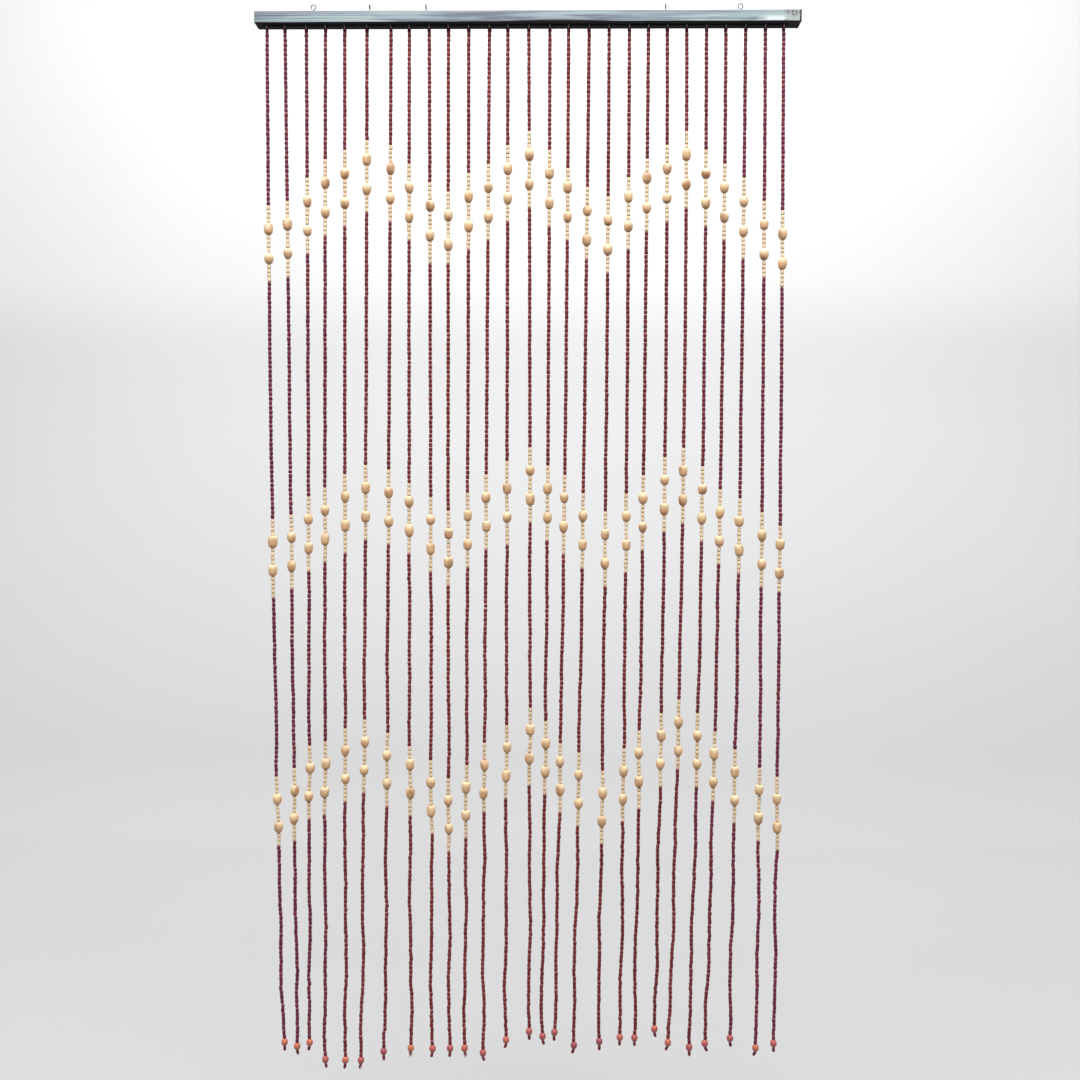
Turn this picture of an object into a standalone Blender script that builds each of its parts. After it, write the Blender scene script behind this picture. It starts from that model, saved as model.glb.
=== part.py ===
"""Bead curtain: strands of wooden beads under a black-painted wooden rail with screw eyes on top.

Sizes are in millimetres and become metres where Blender needs them. X runs along the rail, Y from the
front of the curtain to its back, and Z up. The origin is the middle of the rail's back face.
"""

import math
from collections import namedtuple

import bpy

MM = 0.001
GAP = 0.3

# Rail
RAIL_LENGTH = 900.0
RAIL_DEPTH = 30.0
RAIL_HEIGHT = 19.0
RAIL_EDGE = 0.8
RAIL_EDGE_STEPS = 2
RAIL_MIDDLE_Y = -RAIL_DEPTH / 2
RAIL_TOP_Z = RAIL_HEIGHT / 2
RAIL_UNDERSIDE_Z = -RAIL_HEIGHT / 2

# Screw eyes, which stand well out of the rail
WIRE_RADIUS = 0.75
RING_RADIUS = 4.0
RING_LIFT = 6.5
RING_POINTS = 13
RING_START = -62.0
RING_END = 243.0
SHANK_DEPTH = 9.0
SHANK_BEND_HEIGHT = 6.0
WIRE_STEPS = 2
HOLE_SIDES = 16
HOLE_RADIUS = WIRE_RADIUS + GAP
HOLE_DEPTH = SHANK_DEPTH + GAP

# Strip that holds the roots of the strands, parted from the rail by the gap
STRIP_DEPTH = 8.0
STRIP_THICKNESS = 1.5
STRIP_END_MARGIN = 6.0
STRIP_MIDDLE = GAP + STRIP_THICKNESS / 2

# Beads, measured along and across the thread
STRAND_SPACING = 33.0
THREAD_WIDTH = 3.0
THREAD_LENGTH = 4.5
DARK_WIDTH = 6.3
DARK_LENGTH = 7.65
SMALL_LIGHT_LENGTH = 7.15
BIG_WIDTH = 15.0
BIG_LENGTH = 20.1
END_WIDTH = 11.0
END_LENGTH = 13.0
STOPPER_WIDTH = 4.6
STOPPER_LENGTH = 8.0
SMALL_LIGHT_GROUP = 4
LIGHT_BAND_LENGTH = 3 * SMALL_LIGHT_GROUP * SMALL_LIGHT_LENGTH + 2 * BIG_LENGTH

# A strand is a square tube of nearly the beads' width, turned so that a flat side faces the front
SQUARE_SHARE = 0.88
CORNER_SHARE = SQUARE_SHARE / math.sqrt(2)
SQUARE_TURN = math.radians(45)

# Rings round a bead: how far along it, and how wide there
BeadRing = namedtuple("BeadRing", "along width")
BEAD_RINGS = (
    BeadRing(-0.32, 0.86),
    BeadRing(0.0, 1.0),
    BeadRing(0.32, 0.86),
)

# One row for each strand, from the left
# place: sideways from the even spacing, at the rail; middle and foot: its drift halfway down and at the end
# run_1 to run_4: how many dark beads it has above, between and below its three light bands
Strand = namedtuple("Strand", "place middle foot run_1 run_2 run_3 run_4")
STRANDS = (
    Strand(-3.0, 5.0, 19.5, 38, 52, 41, 43),
    Strand(-6.0, 6.5, 13.0, 37, 52, 40, 46),
    Strand(-3.5, 0.5, -1.5, 32, 53, 39, 50),
    Strand(-4.5, -4.0, -6.0, 28, 55, 40, 55),
    Strand(-5.5, -2.0, -3.0, 26, 54, 40, 58),
    Strand(-1.5, -4.5, -13.0, 23, 55, 40, 60),
    Strand(5.5, -5.5, -12.5, 25, 54, 42, 55),
    Strand(3.0, -0.5, 2.5, 29, 52, 42, 52),
    Strand(3.0, 3.0, 5.0, 33, 52, 42, 48),
    Strand(2.0, 0.5, 4.0, 35, 53, 43, 44),
    Strand(2.5, -0.5, -4.0, 31, 53, 44, 47),
    Strand(4.0, -4.0, -7.0, 29, 51, 43, 53),
    Strand(1.5, 1.0, 1.5, 25, 53, 41, 54),
    Strand(3.0, 5.5, 7.5, 22, 52, 41, 56),
    Strand(5.0, -0.5, -6.0, 26, 52, 40, 54),
    Strand(3.0, -3.5, -15.5, 29, 51, 42, 49),
    Strand(4.0, -6.0, -16.5, 34, 50, 41, 49),
    Strand(4.0, -1.0, -7.0, 36, 52, 41, 44),
    Strand(4.5, 0.5, -3.0, 31, 53, 40, 48),
    Strand(3.0, -3.0, -10.0, 27, 53, 40, 52),
    Strand(1.0, 2.0, -7.0, 25, 51, 40, 54),
    Strand(0.0, 0.5, -14.5, 22, 52, 39, 60),
    Strand(-0.5, 0.5, -13.0, 26, 52, 38, 58),
    Strand(-1.5, -2.0, -16.5, 29, 54, 37, 53),
    Strand(-2.0, -1.0, -7.5, 32, 53, 39, 48),
    Strand(-2.5, 4.5, 6.0, 37, 51, 40, 46),
    Strand(-5.5, 5.0, 5.5, 39, 51, 40, 43),
)

# One row for each screw eye: its place along the rail, and how far its ring is turned from facing the front
ScrewEye = namedtuple("ScrewEye", "along turn")
SCREW_EYES = (
    ScrewEye(-354.5, 0.0),
    ScrewEye(-261.0, 90.0),
    ScrewEye(-167.5, 90.0),
    ScrewEye(229.0, 90.0),
    ScrewEye(352.0, 0.0),
)


def clear_scene():
    """Removes every object that is in the scene."""
    for item in list(bpy.data.objects):
        bpy.data.objects.remove(item, do_unlink=True)


def new_collection(name):
    """Adds an empty collection to the scene."""
    collection = bpy.data.collections.new(name)
    bpy.context.scene.collection.children.link(collection)
    return collection


def new_material(name, colour, roughness, metallic):
    """Makes a plain material with the colour and finish of one kind of piece."""
    material = bpy.data.materials.new(name)
    material.use_nodes = True
    shader = material.node_tree.nodes["Principled BSDF"]
    shader.inputs["Base Color"].default_value = (*colour, 1.0)
    shader.inputs["Roughness"].default_value = roughness
    shader.inputs["Metallic"].default_value = metallic
    return material


def move_to(item, collection):
    """Puts an object in one collection only."""
    for owner in list(item.users_collection):
        owner.objects.unlink(item)
    collection.objects.link(item)


def add_box(name, size, middle, collection):
    """Adds a box of the given size round the given middle, both in millimetres."""
    bpy.ops.mesh.primitive_cube_add(size=1.0, location=[value * MM for value in middle])
    box = bpy.context.object
    box.name = name
    box.scale = [value * MM for value in size]
    bpy.ops.object.transform_apply(location=False, rotation=False, scale=True)
    move_to(box, collection)
    return box


def add_pin(name, radius, length, middle, collection):
    """Adds an upright round pin, used as a drill."""
    bpy.ops.mesh.primitive_cylinder_add(
        vertices=HOLE_SIDES, radius=radius * MM, depth=length * MM, location=[value * MM for value in middle]
    )
    pin = bpy.context.object
    pin.name = name
    move_to(pin, collection)
    return pin


def mark_as_guide(item):
    """Keeps a cutter or a piece that is merged into another out of the model."""
    item.hide_render = True
    item.display_type = "WIRE"


def add_boolean(item, other, operation):
    """Cuts another object from this one, or joins it to this one."""
    modifier = item.modifiers.new(operation.title(), "BOOLEAN")
    modifier.operation = operation
    modifier.solver = "EXACT"
    modifier.object = other


def new_curve(name, bevel_depth, bevel_steps):
    """Starts a round or square tube along splines that are added later."""
    curve = bpy.data.curves.new(name, "CURVE")
    curve.dimensions = "3D"
    curve.bevel_depth = bevel_depth * MM
    curve.bevel_resolution = bevel_steps
    curve.use_fill_caps = True
    return curve


def curve_to_mesh(name, curve, collection):
    """Turns a curve into a closed mesh object whose caps are welded on."""
    holder = bpy.data.objects.new(name + "_curve", curve)
    collection.objects.link(holder)
    graph = bpy.context.evaluated_depsgraph_get()
    mesh = bpy.data.meshes.new_from_object(holder.evaluated_get(graph))
    piece = bpy.data.objects.new(name, mesh)
    piece.matrix_world = holder.matrix_world.copy()
    collection.objects.link(piece)
    bpy.data.objects.remove(holder, do_unlink=True)
    weld = piece.modifiers.new("Weld caps", "WELD")
    weld.merge_threshold = 0.000001
    return piece


def make_rail(collection, cutters, material):
    """Makes the wooden bar, with a blind hole for the shank of each screw eye."""
    rail = add_box("rail", (RAIL_LENGTH, RAIL_DEPTH, RAIL_HEIGHT), (0.0, RAIL_MIDDLE_Y, 0.0), collection)
    bevel = rail.modifiers.new("Eased edges", "BEVEL")
    bevel.width = RAIL_EDGE * MM
    bevel.segments = RAIL_EDGE_STEPS
    drill_length = 2 * HOLE_DEPTH
    for number, eye in enumerate(SCREW_EYES, start=1):
        middle = (eye.along, RAIL_MIDDLE_Y, RAIL_TOP_Z)
        drill = add_pin(f"drill_{number}", HOLE_RADIUS, drill_length, middle, cutters)
        mark_as_guide(drill)
        add_boolean(rail, drill, "DIFFERENCE")
    rail.data.materials.append(material)
    return rail


def eye_path():
    """Lists the points of a screw eye's wire: up the shank, out to one side and round the ring."""
    centre = RING_LIFT + WIRE_RADIUS + RING_RADIUS
    points = [(0.0, -SHANK_DEPTH), (0.0, SHANK_BEND_HEIGHT)]
    for step in range(RING_POINTS):
        angle = math.radians(RING_START + (RING_END - RING_START) * step / (RING_POINTS - 1))
        points.append((RING_RADIUS * math.cos(angle), centre + RING_RADIUS * math.sin(angle)))
    return points


def make_screw_eye(number, eye, collection, material):
    """Makes one screw eye from a bent wire and stands it in its hole."""
    curve = new_curve(f"screw_eye_{number}", WIRE_RADIUS, WIRE_STEPS)
    path = eye_path()
    spline = curve.splines.new("POLY")
    spline.points.add(len(path) - 1)
    for point, (across, height) in zip(spline.points, path):
        point.co = (across * MM, 0.0, height * MM, 1.0)
    screw_eye = curve_to_mesh(f"screw_eye_{number}", curve, collection)
    screw_eye.location = (eye.along * MM, RAIL_MIDDLE_Y * MM, RAIL_TOP_Z * MM)
    screw_eye.rotation_euler = (0.0, 0.0, math.radians(eye.turn))
    screw_eye.data.shade_smooth()
    screw_eye.data.materials.append(material)
    return screw_eye


def light_band(start):
    """Lists the rings round the two big beads of a light band, as depth and width."""
    group = SMALL_LIGHT_GROUP * SMALL_LIGHT_LENGTH
    first_middle = start + group + BIG_LENGTH / 2
    second_middle = first_middle + BIG_LENGTH + group
    return bead_rings(first_middle, BIG_LENGTH, BIG_WIDTH) + bead_rings(second_middle, BIG_LENGTH, BIG_WIDTH)


def bead_rings(middle, length, width):
    """Lists the rings round one bead, starting and ending at the width of the small beads."""
    rings = [(middle - length / 2, DARK_WIDTH)]
    rings += [(middle + ring.along * length, ring.width * width) for ring in BEAD_RINGS]
    rings.append((middle + length / 2, DARK_WIDTH))
    return rings


def strand_rings(strand):
    """Lists a strand's rings from its root to its stopper, as depth below the rail and width."""
    rings = [(STRIP_MIDDLE, THREAD_WIDTH), (THREAD_LENGTH - GAP, THREAD_WIDTH), (THREAD_LENGTH, DARK_WIDTH)]
    depth = THREAD_LENGTH
    for run in (strand.run_1, strand.run_2, strand.run_3):
        depth += run * DARK_LENGTH
        rings += light_band(depth)
        depth += LIGHT_BAND_LENGTH
    depth += strand.run_4 * DARK_LENGTH
    rings += bead_rings(depth + END_LENGTH / 2, END_LENGTH, END_WIDTH)[:-1]
    depth += END_LENGTH
    rings += [(depth, STOPPER_WIDTH), (depth + STOPPER_LENGTH, STOPPER_WIDTH)]
    return rings


def drift(strand, share):
    """Gives a strand's sideways drift at a share of its length: a smooth bow through middle and foot."""
    slope = 4 * strand.middle - strand.foot
    bow = 2 * strand.foot - 4 * strand.middle
    return slope * share + bow * share**2


def strand_x(index):
    """Gives the place of a strand along the rail."""
    return (index - (len(STRANDS) - 1) / 2) * STRAND_SPACING + STRANDS[index].place


def make_strands(collection, cutters, material):
    """Makes the strip under the rail with every strand joined to it."""
    first = strand_x(0) - STRIP_END_MARGIN
    last = strand_x(len(STRANDS) - 1) + STRIP_END_MARGIN
    strip_z = RAIL_UNDERSIDE_Z - STRIP_MIDDLE
    size = (last - first, STRIP_DEPTH, STRIP_THICKNESS)
    strands = add_box("strands", size, ((first + last) / 2, RAIL_MIDDLE_Y, strip_z), collection)
    curve = new_curve("strand_tubes", DARK_WIDTH * CORNER_SHARE, 0)
    for index, strand in enumerate(STRANDS):
        add_strand(curve, index, strand)
    tubes = curve_to_mesh("strand_tubes", curve, cutters)
    mark_as_guide(tubes)
    add_boolean(strands, tubes, "UNION")
    strands.data.materials.append(material)
    return strands


def add_strand(curve, index, strand):
    """Adds one strand to the curve, as a square tube that is wider round its big beads."""
    rings = strand_rings(strand)
    length = rings[-1][0]
    spline = curve.splines.new("POLY")
    spline.points.add(len(rings) - 1)
    for point, (depth, width) in zip(spline.points, rings):
        x = strand_x(index) + drift(strand, depth / length)
        point.co = (x * MM, RAIL_MIDDLE_Y * MM, (RAIL_UNDERSIDE_Z - depth) * MM, 1.0)
        point.radius = width / DARK_WIDTH
        point.tilt = SQUARE_TURN


def main():
    """Builds the whole curtain."""
    clear_scene()
    pieces = new_collection("bead_curtain")
    cutters = new_collection("cutters")
    black_paint = new_material("black_paint", (0.02, 0.02, 0.025), 0.3, 0.0)
    steel = new_material("steel", (0.55, 0.55, 0.56), 0.35, 1.0)
    stained_wood = new_material("stained_wood", (0.16, 0.04, 0.03), 0.45, 0.0)
    make_rail(pieces, cutters, black_paint)
    for number, eye in enumerate(SCREW_EYES, start=1):
        make_screw_eye(number, eye, pieces, steel)
    make_strands(pieces, cutters, stained_wood)


main()
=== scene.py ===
"""Looks of the bead curtain: every bead and thread, the painted rail, the screw eyes, and the studio.

Lengths are in millimetres up to the last step, where MM turns them into metres. A strand is laid out
downwards: a depth is a distance below the rail's underside.
"""
import math
from collections import namedtuple

import bpy
import numpy as np
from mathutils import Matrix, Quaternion, Vector


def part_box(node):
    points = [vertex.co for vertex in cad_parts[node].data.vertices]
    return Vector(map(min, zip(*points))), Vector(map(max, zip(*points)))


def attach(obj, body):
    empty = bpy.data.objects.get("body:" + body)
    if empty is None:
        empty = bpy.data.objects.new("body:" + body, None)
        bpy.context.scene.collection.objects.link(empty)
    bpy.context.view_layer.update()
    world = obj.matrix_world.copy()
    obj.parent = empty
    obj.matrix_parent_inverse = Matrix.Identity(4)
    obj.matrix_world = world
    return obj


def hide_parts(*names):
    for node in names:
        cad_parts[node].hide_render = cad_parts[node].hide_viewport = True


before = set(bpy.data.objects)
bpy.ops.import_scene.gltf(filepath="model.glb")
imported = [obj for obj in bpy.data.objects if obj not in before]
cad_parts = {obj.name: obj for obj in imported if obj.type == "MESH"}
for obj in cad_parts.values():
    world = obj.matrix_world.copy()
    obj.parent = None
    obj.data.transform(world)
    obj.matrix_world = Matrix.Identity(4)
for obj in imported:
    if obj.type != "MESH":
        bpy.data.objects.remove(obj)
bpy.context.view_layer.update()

MM = 0.001
random = np.random.RandomState(27)

# The rail and what hangs below it, as in the solids
RAIL_LOW, RAIL_HIGH = (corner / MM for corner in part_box("rail"))
STRANDS_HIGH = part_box("strands")[1] / MM
UNDERSIDE_Z = RAIL_LOW.z
MIDDLE_Y = (RAIL_LOW.y + RAIL_HIGH.y) / 2
STRIP_DEPTH = 8.0
STRIP_THICKNESS = 1.5
STRIP_END_MARGIN = 6.0
STRIP_TOP_Z = STRANDS_HIGH.z
STRIP_EDGE = 0.4

# Beads
STRAND_SPACING = 33.0
THREAD_LENGTH = 4.5
DARK_WIDTH = 6.3
DARK_LENGTH = 7.65
LIGHT_WIDTH = 6.4
LIGHT_LENGTH = 7.15
LIGHT_GROUP = 4
BIG_WIDTH = 15.2
BIG_LENGTH = 20.1
END_WIDTH = 11.6
END_LENGTH = 13.0
STOPPER_WIDTH = 5.2
STOPPER_LENGTH = 8.0

# Threads
# The loop's legs stand apart at the strip and at the first bead, and end a little below that bead's top
THREAD_RADIUS = 0.4
THREAD_SIDES = 6
THREAD_STEP = 24.0
THREAD_IN_STOPPER = 2.0
LOOP_TOP_SPREAD = 0.25
LOOP_SPREAD = 0.5
LOOP_IN_BEAD = 0.6
TAIL_LENGTH = 9.0
TAIL_SPREAD = 2.2
TAIL_HALF_SPREAD_SHARE = 0.4
TAIL_HALF_FORWARD = 2.4
TAIL_END_FORWARD = 2.8

# One row for each strand, from the left
# place: sideways from the even spacing, at the rail; middle and foot: its drift halfway down and at the end
# run_1 to run_4: how many dark beads it has above, between and below its three light bands
Strand = namedtuple("Strand", "place middle foot run_1 run_2 run_3 run_4")
STRANDS = (
    Strand(-3.0, 5.0, 19.5, 38, 52, 41, 43),
    Strand(-6.0, 6.5, 13.0, 37, 52, 40, 46),
    Strand(-3.5, 0.5, -1.5, 32, 53, 39, 50),
    Strand(-4.5, -4.0, -6.0, 28, 55, 40, 55),
    Strand(-5.5, -2.0, -3.0, 26, 54, 40, 58),
    Strand(-1.5, -4.5, -13.0, 23, 55, 40, 60),
    Strand(5.5, -5.5, -12.5, 25, 54, 42, 55),
    Strand(3.0, -0.5, 2.5, 29, 52, 42, 52),
    Strand(3.0, 3.0, 5.0, 33, 52, 42, 48),
    Strand(2.0, 0.5, 4.0, 35, 53, 43, 44),
    Strand(2.5, -0.5, -4.0, 31, 53, 44, 47),
    Strand(4.0, -4.0, -7.0, 29, 51, 43, 53),
    Strand(1.5, 1.0, 1.5, 25, 53, 41, 54),
    Strand(3.0, 5.5, 7.5, 22, 52, 41, 56),
    Strand(5.0, -0.5, -6.0, 26, 52, 40, 54),
    Strand(3.0, -3.5, -15.5, 29, 51, 42, 49),
    Strand(4.0, -6.0, -16.5, 34, 50, 41, 49),
    Strand(4.0, -1.0, -7.0, 36, 52, 41, 44),
    Strand(4.5, 0.5, -3.0, 31, 53, 40, 48),
    Strand(3.0, -3.0, -10.0, 27, 53, 40, 52),
    Strand(1.0, 2.0, -7.0, 25, 51, 40, 54),
    Strand(0.0, 0.5, -14.5, 22, 52, 39, 60),
    Strand(-0.5, 0.5, -13.0, 26, 52, 38, 58),
    Strand(-1.5, -2.0, -16.5, 29, 54, 37, 53),
    Strand(-2.0, -1.0, -7.5, 32, 53, 39, 48),
    Strand(-2.5, 4.5, 6.0, 37, 51, 40, 46),
    Strand(-5.5, 5.0, 5.5, 39, 51, 40, 43),
)

# One row for each strand's foot, from the left
# redness: of its end bead, from orange (0) to crimson (1); lean: of its stopper to the right, in degrees
# tails: whether two short ends of thread hang out
Foot = namedtuple("Foot", "redness lean tails")
FEET = (
    Foot(0.05, 4.0, False),
    Foot(0.1, 10.0, False),
    Foot(0.05, -14.0, False),
    Foot(0.55, 6.0, False),
    Foot(0.1, -10.0, False),
    Foot(0.65, -18.0, True),
    Foot(0.9, 5.0, True),
    Foot(0.0, -4.0, True),
    Foot(0.45, -15.0, False),
    Foot(0.7, -6.0, False),
    Foot(0.4, 6.0, True),
    Foot(0.7, 24.0, False),
    Foot(0.3, -24.0, False),
    Foot(0.6, 3.0, False),
    Foot(0.7, 18.0, False),
    Foot(0.75, 2.0, False),
    Foot(1.0, -18.0, False),
    Foot(1.0, -3.0, False),
    Foot(0.3, 2.0, False),
    Foot(0.6, 3.0, False),
    Foot(0.4, 20.0, False),
    Foot(0.3, -26.0, False),
    Foot(0.75, 4.0, True),
    Foot(0.5, 28.0, False),
    Foot(0.7, 10.0, False),
    Foot(0.25, -24.0, False),
    Foot(0.6, 1.0, False),
)

# Bands that start or end a bead away from the even pattern, on strands counted from the left
# top and foot: how many more light beads, in place of dark ones, the band has at that end
UnevenBand = namedtuple("UnevenBand", "strand band top foot")
UNEVEN_BANDS = (
    UnevenBand(1, 2, 0, 1),
    UnevenBand(1, 3, 0, -1),
    UnevenBand(5, 2, 0, 1),
    UnevenBand(6, 1, -1, 0),
    UnevenBand(8, 2, -1, 0),
    UnevenBand(8, 3, -1, 0),
    UnevenBand(9, 1, 0, 1),
    UnevenBand(10, 1, 0, -1),
    UnevenBand(12, 3, 0, -1),
    UnevenBand(13, 2, 1, 1),
    UnevenBand(14, 3, 0, 1),
    UnevenBand(16, 1, -1, 0),
    UnevenBand(16, 2, 0, 1),
    UnevenBand(16, 3, -1, 0),
    UnevenBand(17, 1, 0, -1),
    UnevenBand(19, 1, -1, 0),
    UnevenBand(19, 2, 0, 1),
    UnevenBand(20, 1, -1, 0),
    UnevenBand(20, 3, 0, 1),
    UnevenBand(22, 3, 0, -1),
    UnevenBand(24, 3, 0, -1),
    UnevenBand(25, 1, 0, 1),
    UnevenBand(27, 2, -1, -1),
)

# Small sideways waves of a strand, which grow towards its foot: shortest and longest length, and height
Wave = namedtuple("Wave", "shortest longest height")
WAVES = (
    Wave(260.0, 400.0, 1.3),
    Wave(130.0, 200.0, 0.9),
    Wave(65.0, 100.0, 0.35),
)

# How unevenly the beads sit and how much they differ
# Gaps and cuts are shares of a bead's length; tilts and the stopper's rock are in degrees
BEAD_SHIFT = 0.2
BEAD_TILT_TOP = 1.5
BEAD_TILT_FOOT = 3.0
STOPPER_ROCK = 12.0
WIDTH_SPREAD = 0.03
DARK_GAP = 0.008
LIGHT_GAP = 0.015
BIG_GAP = 0.0
GAP_RANGE = (0.2, 1.8)
SHORT_BEAD_SHARE = 0.012
SHORT_BEAD_CUT = (0.08, 0.2)
STRAND_TONE_SHARE = 0.35
GRAIN_SPREAD = 500.0
RIM_STRENGTH_POWER = 1.5

# How strongly the rims of the dark beads are worn pale and painted with a highlight, from the top run to the
# bottom one
RUN_RIM_STRENGTH = (1.0, 0.75, 0.6, 0.35)

# Turned profiles, bottom to top: how far along the bead (-0.5 to 0.5), and the share of its half width there
BARREL = (
    (-0.495, 0.60), (-0.43, 0.86), (-0.25, 0.975), (0.0, 1.0), (0.25, 0.975), (0.43, 0.86), (0.495, 0.60),
)
TUBE_BEAD = (
    (-0.495, 0.66), (-0.465, 0.86), (-0.38, 0.96), (-0.15, 1.0), (0.15, 1.0), (0.38, 0.96), (0.465, 0.86),
    (0.495, 0.66),
)
EGG = (
    (-0.48, 0.34), (-0.465, 0.45), (-0.42, 0.60), (-0.34, 0.76), (-0.23, 0.89), (-0.10, 0.97), (0.03, 1.0),
    (0.15, 0.985), (0.27, 0.92), (0.37, 0.80), (0.44, 0.64), (0.47, 0.49), (0.48, 0.38),
)
CUP = (
    (-0.48, 0.32), (-0.465, 0.45), (-0.42, 0.66), (-0.33, 0.84), (-0.20, 0.94), (-0.03, 0.985), (0.13, 1.0),
    (0.26, 0.985), (0.36, 0.92), (0.42, 0.82), (0.46, 0.66), (0.48, 0.42),
)
ONION = (
    (-0.48, 0.32), (-0.46, 0.43), (-0.40, 0.59), (-0.31, 0.75), (-0.20, 0.88), (-0.07, 0.97), (0.06, 1.0),
    (0.18, 0.98), (0.29, 0.89), (0.38, 0.75), (0.44, 0.58), (0.47, 0.46), (0.48, 0.38),
)
ROUND = (
    (-0.49, 0.28), (-0.47, 0.42), (-0.42, 0.60), (-0.33, 0.78), (-0.21, 0.92), (-0.08, 0.99), (0.04, 1.0),
    (0.17, 0.95), (0.29, 0.84), (0.39, 0.68), (0.45, 0.52), (0.48, 0.38), (0.49, 0.28),
)
SMALL_SIDES = 8
BIG_SIDES = 22
SHARP_ANGLE = 55.0

# The big beads' pieces: name, profile, and share of all the big beads
BIG_SHAPES = (("big_beads_egg", EGG, 0.5), ("big_beads_cup", CUP, 0.32), ("big_beads_onion", ONION, 0.18))
BIG_LENGTH_MEAN = 0.99
BIG_LENGTH_SPREAD = 0.05

# Screw eyes: place along the rail, and how far each ring is turned from facing the front
ScrewEye = namedtuple("ScrewEye", "along turn")
SCREW_EYES = (
    ScrewEye(-354.5, 0.0),
    ScrewEye(-261.0, 90.0),
    ScrewEye(-167.5, 90.0),
    ScrewEye(229.0, 90.0),
    ScrewEye(352.0, 0.0),
)
WIRE_RADIUS = 0.75
RING_RADIUS = 4.0
RING_LIFT = 6.5
RING_POINTS = 44
RING_START = -62.0
RING_END = 243.0
SHANK_DEPTH = 9.0
SHANK_NECK_DEPTH = 1.0
SHANK_BEND_HEIGHT = 6.0
WIRE_STEPS = 5

# Camera, fitted to the strands, to the beads' even pitch and to the rail's corners in a 1080 pixel frame
PHOTO_SIZE = 1080.0
FOCAL_PIXELS = 1126.4
CAMERA_PLACE = Vector((0.0574, -1.9119, -0.7838))
CAMERA_TURN_LEFT = 0.967
CAMERA_PITCH_DOWN = 2.351
CAMERA_ROLL = 0.258

FLOOR_Z = -2.0


# Strand layout

Bead = namedtuple("Bead", "kind strand run depth length width")


def strand_length(strand):
    """Gives a strand's length from the rail's underside to the end of its stopper."""
    dark = (strand.run_1 + strand.run_2 + strand.run_3 + strand.run_4) * DARK_LENGTH
    band = 3 * LIGHT_GROUP * LIGHT_LENGTH + 2 * BIG_LENGTH
    return THREAD_LENGTH + dark + 3 * band + END_LENGTH + STOPPER_LENGTH


def lay_out(index, strand):
    """Lists the beads of one strand from top to bottom."""
    beads = []
    depth = THREAD_LENGTH

    def add(kind, run, count, length, width):
        nonlocal depth
        for _ in range(count):
            beads.append(Bead(kind, index, run, depth + length / 2, length, width))
            depth += length

    for run, count in enumerate((strand.run_1, strand.run_2, strand.run_3), start=1):
        add("dark", run, count, DARK_LENGTH, DARK_WIDTH)
        add("light", run, LIGHT_GROUP, LIGHT_LENGTH, LIGHT_WIDTH)
        add("big", run, 1, BIG_LENGTH, BIG_WIDTH)
        add("light", run, LIGHT_GROUP, LIGHT_LENGTH, LIGHT_WIDTH)
        add("big", run, 1, BIG_LENGTH, BIG_WIDTH)
        add("light", run, LIGHT_GROUP, LIGHT_LENGTH, LIGHT_WIDTH)
    add("dark", 4, strand.run_4, DARK_LENGTH, DARK_WIDTH)
    add("end", 4, 1, END_LENGTH, END_WIDTH)
    add("stopper", 4, 1, STOPPER_LENGTH, STOPPER_WIDTH)
    for uneven in UNEVEN_BANDS:
        if uneven.strand == index + 1:
            shift_band_ends(beads, uneven)
    return beads


def shift_band_ends(beads, uneven):
    """Turns the beads next to a band's ends light, or its outermost ones dark."""
    band = [place for place, bead in enumerate(beads) if bead.kind == "light" and bead.run == uneven.band]
    ends = ((uneven.top, band[0], -1, uneven.band), (uneven.foot, band[-1], 1, uneven.band + 1))
    for change, end, outwards, dark_run in ends:
        if change > 0:
            beads[end + outwards] = beads[end + outwards]._replace(kind="light", run=uneven.band)
        if change < 0:
            beads[end] = beads[end]._replace(kind="dark", run=dark_run)


def draw_waves():
    """Draws the length and start of each strand's sideways waves, for X and for Y."""
    return [
        [(random.uniform(wave.shortest, wave.longest), random.uniform(0, 2 * math.pi)) for wave in WAVES * 2]
        for _ in STRANDS
    ]


def swing(index, depth):
    """Gives how far a strand's small waves carry it along X and Y at a depth."""
    share = depth / strand_length(STRANDS[index])
    waves = [wave.height * share**2 * math.sin(2 * math.pi * depth / length + start)
             for wave, (length, start) in zip(WAVES * 2, strand_waves[index])]
    return sum(waves[:len(WAVES)]), sum(waves[len(WAVES):])


def strand_place(index, depth):
    """Gives the point on a strand's centre line at a depth."""
    strand = STRANDS[index]
    share = depth / strand_length(strand)
    slope = 4 * strand.middle - strand.foot
    bow = 2 * strand.foot - 4 * strand.middle
    start = (index - (len(STRANDS) - 1) / 2) * STRAND_SPACING + strand.place
    swing_x, swing_y = swing(index, depth)
    x = start + slope * share + bow * share**2 + swing_x
    return Vector((x, MIDDLE_Y + swing_y, UNDERSIDE_Z - depth))


strand_waves = draw_waves()
strand_tones = [random.uniform() for _ in STRANDS]


# Mesh making

def turned_shape(profile, sides):
    """Returns the points and faces of a closed turned shape, one unit long and one unit in radius."""
    angles = np.arange(sides) * (2 * math.pi / sides)
    rings = [np.stack([radius * np.cos(angles), radius * np.sin(angles), np.full(sides, along)], axis=1)
             for along, radius in profile]
    return np.concatenate(rings), ring_faces(len(profile), sides)


def ring_faces(rings, sides):
    """Lists the faces of a closed tube made of rings of points."""
    faces = []
    for ring in range(rings - 1):
        low, high = ring * sides, (ring + 1) * sides
        for side in range(sides):
            after = (side + 1) % sides
            faces.append([low + side, low + after, high + after, high + side])
    faces.append(list(range(sides))[::-1])
    faces.append([(rings - 1) * sides + side for side in range(sides)])
    return faces


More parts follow.
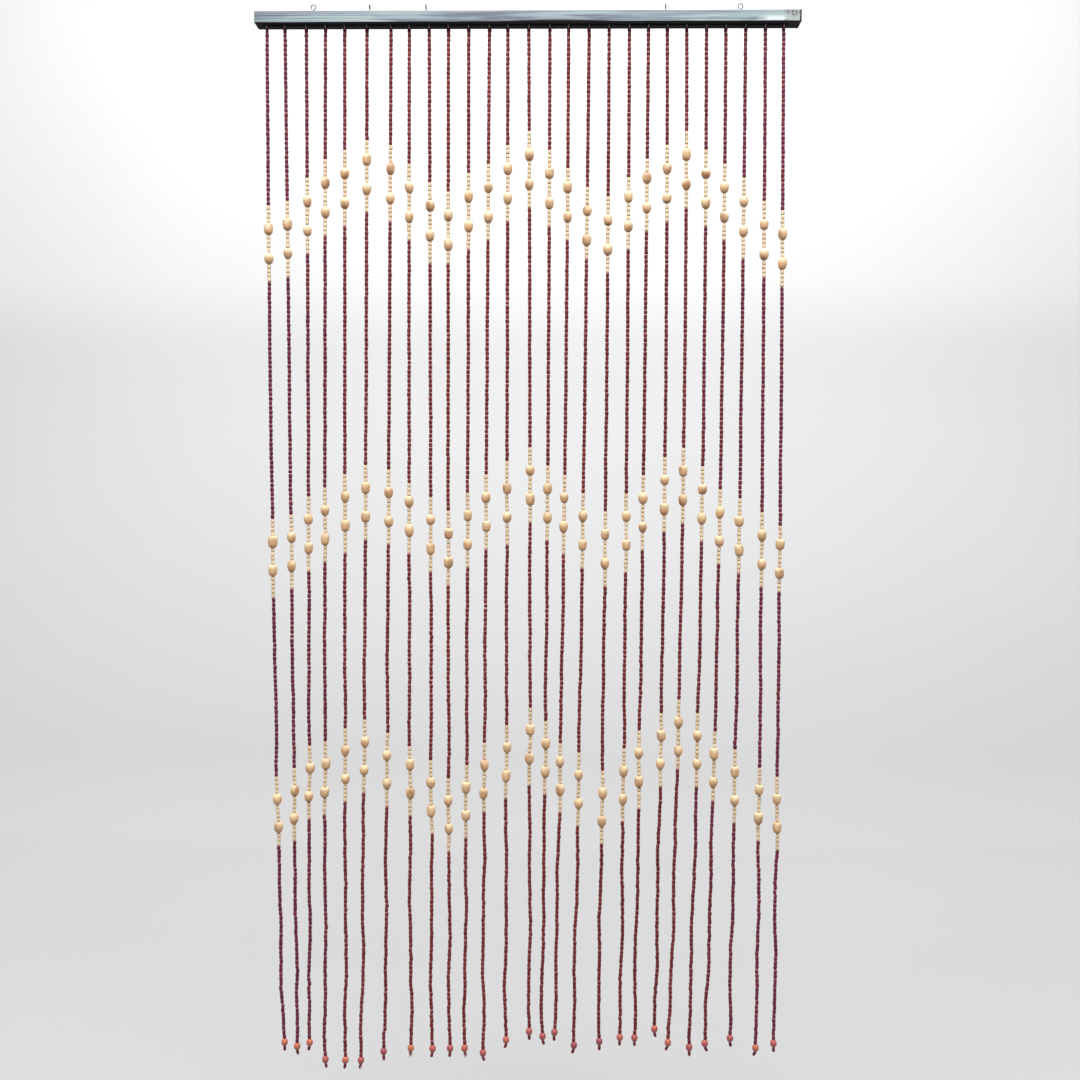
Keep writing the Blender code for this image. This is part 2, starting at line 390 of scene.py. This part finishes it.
def seat_bead(bead):
    """Gives a bead's turn as a 3 by 3 matrix, and its middle, with its own small shift and tilt."""
    share = bead.depth / strand_length(STRANDS[bead.strand])
    wobble = math.radians(BEAD_TILT_TOP + (BEAD_TILT_FOOT - BEAD_TILT_TOP) * share)
    above = strand_place(bead.strand, bead.depth - bead.length / 2)
    below = strand_place(bead.strand, bead.depth + bead.length / 2)
    lean = (above - below).normalized()
    tilt_x = random.normal(0.0, wobble) - math.asin(lean.y)
    tilt_y = random.normal(0.0, wobble) + math.asin(lean.x)
    spin = Quaternion((0, 0, 1), random.uniform(0, 2 * math.pi))
    turn = Quaternion((1, 0, 0), tilt_x) @ Quaternion((0, 1, 0), tilt_y) @ spin
    place = np.array(strand_place(bead.strand, bead.depth))
    place[:2] += random.normal(0.0, BEAD_SHIFT * (0.5 + share), 2)
    return np.array(turn.to_matrix()), place


def seat_stopper(bead):
    """Gives the turn and middle of a stopper, which hangs askew from the foot of its end bead."""
    pivot = strand_place(bead.strand, bead.depth - bead.length / 2)
    lean = Quaternion((0, 1, 0), -math.radians(FEET[bead.strand].lean))
    rock = Quaternion((1, 0, 0), math.radians(random.uniform(-STOPPER_ROCK, STOPPER_ROCK)))
    turn = lean @ rock
    place = pivot + turn @ Vector((0.0, 0.0, -bead.length / 2))
    return np.array(turn.to_matrix()), np.array(place)


def bead_mesh(name, beads, profile, sides, seat=seat_bead):
    """Joins many beads of one kind into one mesh that knows each bead's tone, rim strength and grain."""
    shape, shape_faces = turned_shape(profile, sides)
    points, faces, tones, rim_strengths, grains = [], [], [], [], []
    for bead in beads:
        matrix, place = seat(bead)
        local = shape * np.array([bead.width / 2, bead.width / 2, bead.length])
        first = len(points) * len(shape)
        points.append((local @ matrix.T + place) * MM)
        faces.extend([[first + corner for corner in face] for face in shape_faces])
        tones.append(np.full(len(shape), bead_tone(bead)))
        # How strongly this bead's rims are worn pale and painted with a highlight (dark beads), or how dark
        # its ends are (pale beads)
        rim_strengths.append(np.full(len(shape), random.uniform() ** RIM_STRENGTH_POWER * RUN_RIM_STRENGTH[bead.run - 1]))
        grains.append(local + random.uniform(-GRAIN_SPREAD, GRAIN_SPREAD, 3))
    mesh = bpy.data.meshes.new(name)
    mesh.from_pydata(np.concatenate(points).tolist(), [], faces)
    add_attribute(mesh, "tone", "FLOAT", np.concatenate(tones))
    add_attribute(mesh, "rim_strength", "FLOAT", np.concatenate(rim_strengths))
    add_attribute(mesh, "grain", "FLOAT_VECTOR", np.concatenate(grains))
    add_attribute(mesh, "along", "FLOAT", np.tile(shape[:, 2], len(beads)))
    mesh.shade_smooth()
    mesh.set_sharp_from_angle(angle=math.radians(SHARP_ANGLE))
    return mesh


def bead_tone(bead):
    """Draws a bead's tone from 0 to 1, partly shared along its strand; an end bead's is its redness."""
    if bead.kind == "end":
        return FEET[bead.strand].redness
    return random.uniform() * (1 - STRAND_TONE_SHARE) + strand_tones[bead.strand] * STRAND_TONE_SHARE


def add_attribute(mesh, name, kind, values):
    """Stores one value for each point of a mesh."""
    attribute = mesh.attributes.new(name, kind, "POINT")
    key = "vector" if kind == "FLOAT_VECTOR" else "value"
    attribute.data.foreach_set(key, np.asarray(values, np.float32).ravel())


def vary(beads, gap):
    """Shortens each bead by a gap to its neighbour, and a few by more, so that thread shows there."""
    varied = []
    for bead in beads:
        share = 1.0 - gap * random.uniform(*GAP_RANGE)
        if random.uniform() < SHORT_BEAD_SHARE:
            share -= random.uniform(*SHORT_BEAD_CUT)
        width = bead.width * random.normal(1.0, WIDTH_SPREAD)
        varied.append(bead._replace(length=bead.length * share, width=width))
    return varied


def tube(points, radius, sides):
    """Returns the points and faces of a closed round tube through a list of points."""
    rings = []
    side_way = Vector((0, 1, 0))
    for number, point in enumerate(points):
        before = points[max(number - 1, 0)]
        after = points[min(number + 1, len(points) - 1)]
        forward = (after - before).normalized()
        across = side_way.cross(forward).normalized()
        side_way = forward.cross(across).normalized()
        for side in range(sides):
            angle = 2 * math.pi * side / sides
            rings.append(point + radius * (math.cos(angle) * across + math.sin(angle) * side_way))
    return rings, ring_faces(len(points), sides)


def joined_tubes(name, lines, radius, sides):
    """Makes one mesh from many round tubes, each given as a list of points."""
    points, faces = [], []
    for line in lines:
        tube_points, tube_faces = tube(line, radius, sides)
        faces.extend([[len(points) + corner for corner in face] for face in tube_faces])
        points.extend(tube_points)
    mesh = bpy.data.meshes.new(name)
    mesh.from_pydata([point * MM for point in points], [], faces)
    mesh.shade_smooth()
    return mesh


def add_piece(name, mesh, material, replaced):
    """Puts a mesh in the scene as a piece of the curtain that stands for a solid."""
    piece = bpy.data.objects.new(name, mesh)
    bpy.context.scene.collection.objects.link(piece)
    piece.data.materials.append(material)
    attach(piece, "root")
    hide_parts(replaced)


# Materials

class Shader:
    """A new material whose nodes are added and linked by short calls."""

    def __init__(self, name):
        self.material = bpy.data.materials.new(name)
        self.material.use_nodes = True
        self.tree = self.material.node_tree
        self.surface = self.tree.nodes["Principled BSDF"]

    def node(self, kind, **inputs):
        """Adds a node, and fills or links the inputs that are named."""
        made = self.tree.nodes.new("ShaderNode" + kind)
        for key, value in inputs.items():
            self.fill(made.inputs[key.replace("_", " ")], value)
        return made

    def fill(self, socket, value):
        """Sets a socket to a value, or links an output to it."""
        if isinstance(value, bpy.types.NodeSocket):
            self.tree.links.new(value, socket)
        else:
            socket.default_value = value

    def coordinates(self, kind):
        """Gives the object's own coordinates or its normal."""
        return self.node("TexCoord").outputs[kind]

    def attribute(self, name, output="Fac"):
        """Reads an attribute of the mesh."""
        made = self.node("Attribute")
        made.attribute_name = name
        return made.outputs[output]

    def part(self, vector, axis):
        """Gives one part of a vector."""
        return self.node("SeparateXYZ", Vector=vector).outputs[axis]

    def noise(self, vector, stretch, detail=3.0, roughness=0.5):
        """Gives smooth noise between 0 and 1, with its own scale along each axis."""
        stretched = self.node("Mapping", Vector=vector, Scale=stretch).outputs["Vector"]
        made = self.node("TexNoise", Vector=stretched, Scale=1.0, Detail=detail, Roughness=roughness)
        return made.outputs["Fac"]

    def math(self, operation, first, second=0.0):
        """Works out one number from two."""
        made = self.tree.nodes.new("ShaderNodeMath")
        made.operation = operation
        self.fill(made.inputs[0], first)
        self.fill(made.inputs[1], second)
        return made.outputs["Value"]

    def remap(self, value, low, high, to_low=0.0, to_high=1.0):
        """Maps a range of a number to another range, and clamps it."""
        made = self.node("MapRange", Value=value, From_Min=low, From_Max=high, To_Min=to_low, To_Max=to_high)
        return made.outputs["Result"]

    def mix(self, factor, first, second):
        """Mixes two colours."""
        made = self.tree.nodes.new("ShaderNodeMix")
        made.data_type = "RGBA"
        self.fill(made.inputs["Factor"], factor)
        self.fill(made.inputs["A"], first)
        self.fill(made.inputs["B"], second)
        return made.outputs["Result"]

    def bump(self, height, strength, distance):
        """Raises the surface a little by a height between 0 and 1."""
        made = self.node("Bump", Height=height, Strength=strength, Distance=distance)
        self.fill(self.surface.inputs["Normal"], made.outputs["Normal"])

    def finish(self, **inputs):
        """Fills the surface's own inputs and returns the material."""
        for key, value in inputs.items():
            self.fill(self.surface.inputs[key.replace("_", " ")], value)
        return self.material


def colour(red, green, blue):
    """Turns a colour as a screen shows it (0 to 255) into the linear colour that Blender works in."""
    shares = [channel / 255 for channel in (red, green, blue)]
    linear = [share / 12.92 if share <= 0.04045 else ((share + 0.055) / 1.055) ** 2.4 for share in shares]
    return (*linear, 1.0)


def dark_wood():
    """Stained small beads, red brown in the middle strands, plum in the outer ones, with pale rims that are
    partly worn and partly a painted highlight, strongest at the top end.
    """
    shader = Shader("dark_wood")
    tone = shader.attribute("tone")
    rim_strength = shader.attribute("rim_strength")
    grain = shader.attribute("grain", "Vector")
    along = shader.attribute("along")
    fibres = shader.noise(grain, (1.6, 1.6, 0.22), 4.0)
    sideways = shader.math("ABSOLUTE", shader.part(shader.coordinates("Object"), "X"))
    outwards = shader.remap(sideways, 0.16, 0.43)
    deep = shader.mix(outwards, colour(110, 36, 42), colour(106, 35, 62))
    bright = shader.mix(outwards, colour(134, 48, 50), colour(127, 46, 69))
    body = shader.mix(shader.remap(tone, 0.15, 0.75), deep, bright)
    body = shader.mix(shader.remap(tone, 0.85, 1.0), body, colour(150, 70, 60))
    body = shader.mix(shader.remap(fibres, 0.35, 0.8, 0.0, 0.6), body, colour(68, 20, 28))
    # Pale rims: partly wear, partly painted highlight; the upper rim is painted stronger, as the light falls
    # from above
    upper_rim_wear_and_highlight = shader.remap(along, 0.30, 0.44)
    lower_rim = shader.remap(along, -0.40, -0.46, 0.0, 0.5)
    rim = shader.math("MULTIPLY", shader.math("MAXIMUM", upper_rim_wear_and_highlight, lower_rim), rim_strength)
    body = shader.mix(rim, body, colour(232, 170, 170))
    shader.bump(fibres, 0.25, 0.0004)
    return shader.finish(Base_Color=body, Roughness=0.5, Specular_IOR_Level=0.25)


def pale_bead_wood():
    """Pale small beads, with fine grain and a brown rim at each end."""
    shader = Shader("pale_bead_wood")
    tone = shader.attribute("tone")
    rim_strength = shader.attribute("rim_strength")
    grain = shader.attribute("grain", "Vector")
    along = shader.attribute("along")
    fibres = shader.noise(grain, (1.4, 1.4, 0.2), 4.0, 0.6)
    body = shader.mix(tone, colour(243, 223, 189), colour(231, 202, 171))
    body = shader.mix(shader.remap(fibres, 0.5, 0.8, 0.0, 0.6), body, colour(202, 162, 120))
    # Both ends of each bead are darkened to brown, by a strength drawn for each bead
    rim = shader.remap(shader.math("ABSOLUTE", along), 0.38, 0.47)
    dark_end_strength = shader.remap(rim_strength, 0.0, 0.4, 0.3, 1.0)
    body = shader.mix(shader.math("MULTIPLY", rim, dark_end_strength), body, colour(112, 84, 50))
    shader.bump(fibres, 0.18, 0.0004)
    return shader.finish(Base_Color=body, Roughness=0.45, Specular_IOR_Level=0.35)


def pale_grained_wood():
    """Big beads turned from pale wood, some with brown heartwood, with painted shade that turns them tan
    below the pale top and a painted bounce light that lifts their foot again.
    """
    shader = Shader("pale_grained_wood")
    tone = shader.attribute("tone")
    grain = shader.attribute("grain", "Vector")
    along = shader.attribute("along")
    fibres = shader.noise(grain, (0.9, 0.9, 0.10), 5.0, 0.6)
    wander = shader.remap(shader.noise(grain, (0.12, 0.12, 0.12), 2.0), 0.3, 0.7, -0.12, 0.12)
    height = shader.math("ADD", along, wander)
    world_z = shader.part(shader.coordinates("Object"), "Z")
    lower_bands = shader.remap(world_z, -0.50, -0.70, 0.0, 0.65)
    body = shader.mix(tone, colour(248, 231, 195), colour(241, 214, 174))
    body = shader.mix(lower_bands, body, colour(226, 196, 152))
    body = shader.mix(shader.remap(fibres, 0.45, 0.75, 0.0, 0.5), body, colour(222, 180, 130))
    # Painted shade: tan from just below each bead's top downwards
    body = shader.mix(shader.remap(height, 0.24, -0.10, 0.0, 0.6), body, colour(222, 163, 108))
    # Painted bounce light: lighter and warmer again towards each bead's foot
    body = shader.mix(shader.remap(height, -0.05, -0.45, 0.0, 0.6), body, colour(250, 196, 146))
    heart = shader.noise(grain, (0.06, 0.06, 0.05), 2.0)
    body = shader.mix(shader.remap(heart, 0.50, 0.74, 0.0, 0.75), body, colour(160, 100, 62))
    shader.bump(fibres, 0.18, 0.0004)
    return shader.finish(Base_Color=body, Roughness=0.42, Coat_Weight=0.15, Coat_Roughness=0.25)


def red_wood():
    """End beads stained from orange to crimson, with painted shade on their lower half."""
    shader = Shader("red_wood")
    redness = shader.attribute("tone")
    grain = shader.attribute("grain", "Vector")
    along = shader.attribute("along")
    fibres = shader.noise(grain, (1.2, 1.2, 0.14), 4.0)
    body = shader.mix(shader.remap(redness, 0.0, 0.5), colour(206, 114, 74), colour(186, 88, 80))
    body = shader.mix(shader.remap(redness, 0.5, 1.0), body, colour(158, 60, 76))
    body = shader.mix(shader.remap(fibres, 0.45, 0.8, 0.0, 0.7), body, colour(140, 58, 48))
    # Painted shade: darker towards each end bead's foot
    body = shader.mix(shader.remap(along, 0.1, -0.45, 0.0, 0.6), body, colour(116, 44, 38))
    shader.bump(fibres, 0.2, 0.0004)
    return shader.finish(Base_Color=body, Roughness=0.35, Coat_Weight=0.5, Coat_Roughness=0.15)


def rail_paint():
    """Black paint, streaked blue grey on the front face and nearly black on the other faces."""
    shader = Shader("rail_paint")
    place = shader.coordinates("Object")
    normal = shader.coordinates("Normal")
    along = shader.part(place, "X")
    height = shader.part(place, "Z")
    front = shader.remap(shader.part(normal, "Y"), -0.3, -0.8)
    streaks = shader.noise(place, (5.0, 300.0, 420.0), 5.0, 0.6)
    clouds = shader.noise(place, (7.0, 60.0, 130.0), 3.0)
    face = shader.mix(shader.remap(clouds, 0.38, 0.60), colour(116, 122, 134), colour(160, 180, 182))
    face = shader.mix(shader.remap(streaks, 0.46, 0.36, 0.0, 0.8), face, colour(88, 98, 108))
    face = shader.mix(shader.remap(streaks, 0.53, 0.64, 0.0, 0.8), face, colour(202, 216, 218))
    upper = shader.mix(shader.remap(along, -0.30, -0.15), colour(168, 173, 184), colour(150, 154, 167))
    face = shader.mix(shader.remap(height, 0.002, 0.0075, 0.0, 0.45), face, upper)
    # Painted shade on the lower half of the face, growing towards the left end
    left = shader.remap(along, -0.15, -0.40, 0.0, 0.3)
    low = shader.remap(height, 0.003, -0.002)
    face = shader.mix(shader.math("MULTIPLY", left, low), face, colour(110, 122, 130))
    face = paint_right_end(shader, face, place, height)
    face = shader.mix(above_dark_edge(shader, place, height), colour(34, 32, 38), face)
    dust = shader.noise(place, (40.0, 90.0, 90.0), 4.0)
    hidden = shader.mix(dust, colour(7, 6, 13), colour(19, 17, 26))
    body = shader.mix(front, hidden, face)
    shader.bump(streaks, 0.3, 0.0005)
    rough = shader.remap(front, 0.0, 1.0, 0.8, 0.38)
    return shader.finish(Base_Color=body, Roughness=rough, Specular_IOR_Level=0.2)


def above_dark_edge(shader, place, height):
    """Gives 1 over the face and 0 along its lower edge, which stays dark."""
    along = shader.part(place, "X")
    ragged = shader.remap(shader.noise(place, (14.0, 0.0, 0.0), 4.0), 0.3, 0.7, -0.0004, 0.0004)
    everywhere = shader.remap(along, -0.36, 0.0, 0.0003, 0.0012)
    from_bulge = shader.math("ABSOLUTE", shader.math("SUBTRACT", along, 0.045))
    bulge = shader.remap(from_bulge, 0.10, 0.02, 0.0, 0.0022)
    creep = shader.math("ADD", shader.math("ADD", everywhere, bulge), ragged)
    above_edge = shader.math("ADD", height, -RAIL_LOW.z * MM)
    return shader.remap(shader.math("SUBTRACT", above_edge, creep), -0.0002, 0.0003)


def paint_right_end(shader, face, place, height):
    """Paints the face near the rail's right end: a pale patch, then mottled grey, then a thin dark strip at
    the very end, which is painted shadow.
    """
    along = shader.part(place, "X")
    wander = shader.remap(shader.noise(place, (60.0, 60.0, 260.0), 4.0), 0.3, 0.7, -0.006, 0.006)
    ragged = shader.math("ADD", along, wander)
    mottle = shader.noise(place, (420.0, 60.0, 200.0), 4.0, 0.7)
    low = shader.remap(height, 0.002, -0.003)
    pale_patch = shader.math("MULTIPLY", shader.remap(ragged, 0.375, 0.40, 0.0, 0.85), low)
    face = shader.mix(pale_patch, face, colour(222, 234, 232))
    mottled_end = shader.mix(shader.remap(mottle, 0.42, 0.66), colour(84, 88, 98), colour(196, 200, 196))
    mottled_end = shader.mix(shader.math("MULTIPLY", low, 0.6), mottled_end, colour(188, 196, 192))
    face = shader.mix(shader.remap(ragged, 0.420, 0.424), face, mottled_end)
    # Painted shadow along the face's right end edge
    return shader.mix(shader.remap(along, 0.4465, 0.4475), face, colour(28, 28, 32))


def strip_paint():
    """The strip under the rail, in dull black paint."""
    shader = Shader("strip_paint")
    streaks = shader.noise(shader.coordinates("Object"), (8.0, 500.0, 500.0), 4.0)
    body = shader.mix(streaks, colour(9, 8, 15), colour(24, 21, 30))
    return shader.finish(Base_Color=body, Roughness=0.85, Specular_IOR_Level=0.2)


def thread_fibre():
    """Pale twisted thread."""
    shader = Shader("thread_fibre")
    twist = shader.node("TexWave", Vector=shader.coordinates("Object"), Scale=900.0, Distortion=1.0)
    twist.bands_direction = "DIAGONAL"
    body = shader.mix(twist.outputs["Fac"], colour(196, 188, 176), colour(236, 230, 218))
    return shader.finish(Base_Color=body, Roughness=0.85)


def eye_steel():
    """Dull dark wire with faint drawing marks."""
    shader = Shader("eye_steel")
    marks = shader.noise(shader.coordinates("Object"), (900.0, 900.0, 900.0), 4.0)
    body = shader.mix(marks, colour(30, 28, 28), colour(64, 62, 60))
    rough = shader.remap(marks, 0.3, 0.7, 0.35, 0.55)
    return shader.finish(Base_Color=body, Roughness=rough, Metallic=1.0)


def studio_paper():
    """Matt backdrop paper, pale grey on the floor and nearly white where it rises."""
    shader = Shader("studio_paper")
    place = shader.coordinates("Object")
    clouds = shader.noise(place, (0.8, 0.8, 0.8), 2.0)
    low = shader.mix(clouds, colour(178, 177, 177), colour(182, 181, 181))
    high = shader.mix(clouds, colour(238, 238, 238), colour(242, 242, 242))
    rise = shader.remap(shader.part(place, "Z"), FLOOR_Z, 0.6)
    return shader.finish(Base_Color=shader.mix(rise, low, high), Roughness=0.9)


# Pieces

def make_beads():
    """Makes every bead, in joined meshes of one kind each."""
    beads = [bead for index, strand in enumerate(STRANDS) for bead in lay_out(index, strand)]
    dark = dark_wood()
    for run in (1, 2, 3, 4):
        name = f"dark_beads_{run}"
        chosen = vary([bead for bead in beads if bead.kind == "dark" and bead.run == run], DARK_GAP)
        add_piece(name, bead_mesh(name, chosen, BARREL, SMALL_SIDES), dark, "strands")
    small = vary([bead for bead in beads if bead.kind == "light"], LIGHT_GAP)
    mesh = bead_mesh("light_beads", small, TUBE_BEAD, SMALL_SIDES)
    add_piece("light_beads", mesh, pale_bead_wood(), "strands")
    make_big_beads([bead for bead in beads if bead.kind == "big"])
    mesh = bead_mesh("end_beads", [bead for bead in beads if bead.kind == "end"], ROUND, BIG_SIDES)
    add_piece("end_beads", mesh, red_wood(), "strands")
    stoppers = [bead for bead in beads if bead.kind == "stopper"]
    mesh = bead_mesh("stopper_beads", stoppers, BARREL, SMALL_SIDES, seat_stopper)
    add_piece("stopper_beads", mesh, dark, "strands")


def make_big_beads(beads):
    """Makes the big beads, in three turned shapes that are mixed along the strands."""
    wood = pale_grained_wood()
    beads = [
        bead._replace(length=bead.length * random.normal(BIG_LENGTH_MEAN, BIG_LENGTH_SPREAD))
        for bead in beads
    ]
    beads = vary(beads, BIG_GAP)
    shares = [share for _, _, share in BIG_SHAPES]
    shape_numbers = random.choice(len(BIG_SHAPES), len(beads), p=shares)
    for number, (name, profile, _) in enumerate(BIG_SHAPES):
        chosen = [bead for bead, shape_number in zip(beads, shape_numbers) if shape_number == number]
        add_piece(name, bead_mesh(name, chosen, profile, BIG_SIDES), wood, "strands")


def make_threads():
    """Makes the thread through every strand, its loop round the strip, and a few tails at the foot."""
    lines = []
    for index, strand in enumerate(STRANDS):
        last = strand_length(strand) - STOPPER_LENGTH + THREAD_IN_STOPPER
        steps = int(last / THREAD_STEP)
        lines.append([strand_place(index, THREAD_LENGTH + (last - THREAD_LENGTH) * step / steps)
                      for step in range(steps + 1)])
        lines.extend(root_loop(index))
        if FEET[index].tails:
            lines.extend(tails(index))
    mesh = joined_tubes("threads", lines, THREAD_RADIUS, THREAD_SIDES)
    add_piece("threads", mesh, thread_fibre(), "strands")


def root_loop(index):
    """Lists the legs of the thread that pass round the strip in front and behind, above the first bead."""
    bead_top = strand_place(index, THREAD_LENGTH + LOOP_IN_BEAD)
    lines = []
    for side_y in (-1.0, 1.0):
        outside = side_y * (STRIP_DEPTH / 2 + THREAD_RADIUS)
        for side_x in (-1.0, 1.0):
            x = bead_top.x + LOOP_TOP_SPREAD * side_x
            top = Vector((x, MIDDLE_Y + outside, UNDERSIDE_Z))
            edge = Vector((x, MIDDLE_Y + outside, STRIP_TOP_Z - STRIP_THICKNESS))
            foot = bead_top + Vector((LOOP_SPREAD * side_x, 0.0, 0.0))
            lines.append([top, edge, foot])
    return lines


def tails(index):
    """Lists two short ends of thread that hang out below a stopper."""
    root = strand_place(index, strand_length(STRANDS[index]) - STOPPER_LENGTH)
    lines = []
    for side in (-1.0, 1.0):
        half_across = side * TAIL_SPREAD * TAIL_HALF_SPREAD_SHARE
        half = root + Vector((half_across, -TAIL_HALF_FORWARD, -TAIL_LENGTH / 2))
        end = root + Vector((side * TAIL_SPREAD, -TAIL_END_FORWARD, -TAIL_LENGTH))
        lines.append([root, half, end])
    return lines


def make_strip():
    """Makes the black strip under the rail that the threads are looped round."""
    first = strand_place(0, 0.0).x - STRIP_END_MARGIN
    last = strand_place(len(STRANDS) - 1, 0.0).x + STRIP_END_MARGIN
    bpy.ops.mesh.primitive_cube_add(size=1.0)
    strip = bpy.context.object
    strip.name = "root_strip"
    strip.scale = ((last - first) * MM, STRIP_DEPTH * MM, STRIP_THICKNESS * MM)
    strip.location = ((first + last) / 2 * MM, MIDDLE_Y * MM, (STRIP_TOP_Z - STRIP_THICKNESS / 2) * MM)
    bpy.ops.object.transform_apply(location=True, rotation=True, scale=True)
    bevel = strip.modifiers.new("Eased edges", "BEVEL")
    bevel.width = STRIP_EDGE * MM
    bevel.segments = 2
    strip.data.materials.append(strip_paint())
    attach(strip, "root")
    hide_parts("strands")


def eye_line(eye):
    """Lists the points of a screw eye's wire, from its shank's foot to the tip of its ring."""
    centre = RING_LIFT + WIRE_RADIUS + RING_RADIUS
    flat = [(0.0, -SHANK_DEPTH), (0.0, -SHANK_NECK_DEPTH), (0.0, SHANK_BEND_HEIGHT)]
    for step in range(RING_POINTS):
        angle = math.radians(RING_START + (RING_END - RING_START) * step / (RING_POINTS - 1))
        flat.append((RING_RADIUS * math.cos(angle), centre + RING_RADIUS * math.sin(angle)))
    turn = math.radians(eye.turn)
    return [
        Vector((
            eye.along + across * math.cos(turn),
            MIDDLE_Y + across * math.sin(turn),
            RAIL_HIGH.z + height,
        ))
        for across, height in flat
    ]


def eye_mesh(line):
    """Makes a screw eye's wire from a bevelled curve, as a mesh."""
    curve = bpy.data.curves.new("eye_curve", "CURVE")
    curve.dimensions = "3D"
    curve.bevel_depth = WIRE_RADIUS * MM
    curve.bevel_resolution = WIRE_STEPS
    curve.use_fill_caps = True
    spline = curve.splines.new("POLY")
    spline.points.add(len(line) - 1)
    for point, place in zip(spline.points, line):
        point.co = (*(place * MM), 1.0)
    holder = bpy.data.objects.new("eye_curve", curve)
    bpy.context.scene.collection.objects.link(holder)
    graph = bpy.context.evaluated_depsgraph_get()
    mesh = bpy.data.meshes.new_from_object(holder.evaluated_get(graph))
    bpy.data.objects.remove(holder, do_unlink=True)
    mesh.shade_smooth()
    return mesh


def make_screw_eyes():
    """Makes the screw eyes on the rail with round wire."""
    steel = eye_steel()
    for number, eye in enumerate(SCREW_EYES, start=1):
        add_piece(f"eye_wire_{number}", eye_mesh(eye_line(eye)), steel, f"screw_eye_{number}")


def paint_rail():
    """Gives the rail's own solid its paint."""
    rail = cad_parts["rail"]
    rail.data.materials.clear()
    rail.data.materials.append(rail_paint())


# Studio

def make_stage():
    """Makes the pale floor, which curves up into a backdrop far behind the curtain."""
    front, curve_start, radius, height, half_width = -12.0, 3.2, 2.2, 7.0, 12.0
    steps = 16
    side_line = [(front, FLOOR_Z), (curve_start, FLOOR_Z)]
    for step in range(1, steps + 1):
        angle = math.radians(90 * step / steps)
        side_line.append((curve_start + radius * math.sin(angle), FLOOR_Z + radius * (1 - math.cos(angle))))
    side_line.append((curve_start + radius, FLOOR_Z + height))
    points = [(x, y, z) for y, z in side_line for x in (-half_width, half_width)]
    faces = [(2 * row, 2 * row + 1, 2 * row + 3, 2 * row + 2) for row in range(len(side_line) - 1)]
    mesh = bpy.data.meshes.new("floor")
    mesh.from_pydata(points, [], faces)
    mesh.shade_smooth()
    floor = bpy.data.objects.new("floor", mesh)
    floor.data.materials.append(studio_paper())
    floor.visible_diffuse = False
    bpy.context.scene.collection.objects.link(floor)


def add_softbox(name, place, target, size, power, tint):
    """Adds a soft rectangular light that faces a point and isn't itself seen."""
    light = bpy.data.lights.new(name, "AREA")
    light.shape = "RECTANGLE"
    light.size, light.size_y = size
    light.energy = power
    light.color = tint
    holder = bpy.data.objects.new(name, light)
    holder.location = place
    holder.rotation_euler = (Vector(target) - Vector(place)).to_track_quat("-Z", "Y").to_euler()
    holder.visible_camera = False
    bpy.context.scene.collection.objects.link(holder)


def make_lights():
    """Lights the curtain as an open sky does, from above and in front, and washes the backdrop."""
    add_softbox(
        "sky_front", place=(0.0, -1.6, 2.2), target=(0.0, 0.0, -0.5), size=(5.0, 1.0),
        power=155.0, tint=(1.0, 0.99, 0.97))
    add_softbox(
        "backdrop_wash", place=(0.0, 2.4, 3.4), target=(0.0, 5.4, 0.8), size=(7.0, 1.0),
        power=150.0, tint=(1.0, 1.0, 1.0))
    world = bpy.data.worlds.new("open_sky")
    world.use_nodes = True
    nodes, links = world.node_tree.nodes, world.node_tree.links
    direction = nodes.new("ShaderNodeTexCoord")
    split = nodes.new("ShaderNodeSeparateXYZ")
    fade = nodes.new("ShaderNodeMapRange")
    for key, value in (("From Min", -0.3), ("From Max", 0.6), ("To Min", 0.1), ("To Max", 1.1)):
        fade.inputs[key].default_value = value
    links.new(direction.outputs["Generated"], split.inputs["Vector"])
    links.new(split.outputs["Z"], fade.inputs["Value"])
    links.new(fade.outputs["Result"], nodes["Background"].inputs["Strength"])
    nodes["Background"].inputs["Color"].default_value = (0.97, 0.98, 1.0, 1.0)
    bpy.context.scene.world = world


def make_camera():
    """Places the camera where the photograph was taken from."""
    camera = bpy.data.cameras.new("camera")
    camera.sensor_width = 36.0
    camera.lens = camera.sensor_width * FOCAL_PIXELS / PHOTO_SIZE
    holder = bpy.data.objects.new("camera", camera)
    holder.location = CAMERA_PLACE
    holder.rotation_mode = "QUATERNION"
    heading = Quaternion((0, 0, 1), math.radians(CAMERA_TURN_LEFT))
    level = Quaternion((1, 0, 0), math.radians(90 - CAMERA_PITCH_DOWN))
    roll = Quaternion((0, 0, 1), math.radians(CAMERA_ROLL))
    holder.rotation_quaternion = heading @ level @ roll
    bpy.context.scene.collection.objects.link(holder)
    bpy.context.scene.camera = holder


make_camera()
make_beads()
make_threads()
make_strip()
make_screw_eyes()
paint_rail()
make_stage()
make_lights()
bpy.context.scene.view_settings.view_transform = "Standard"
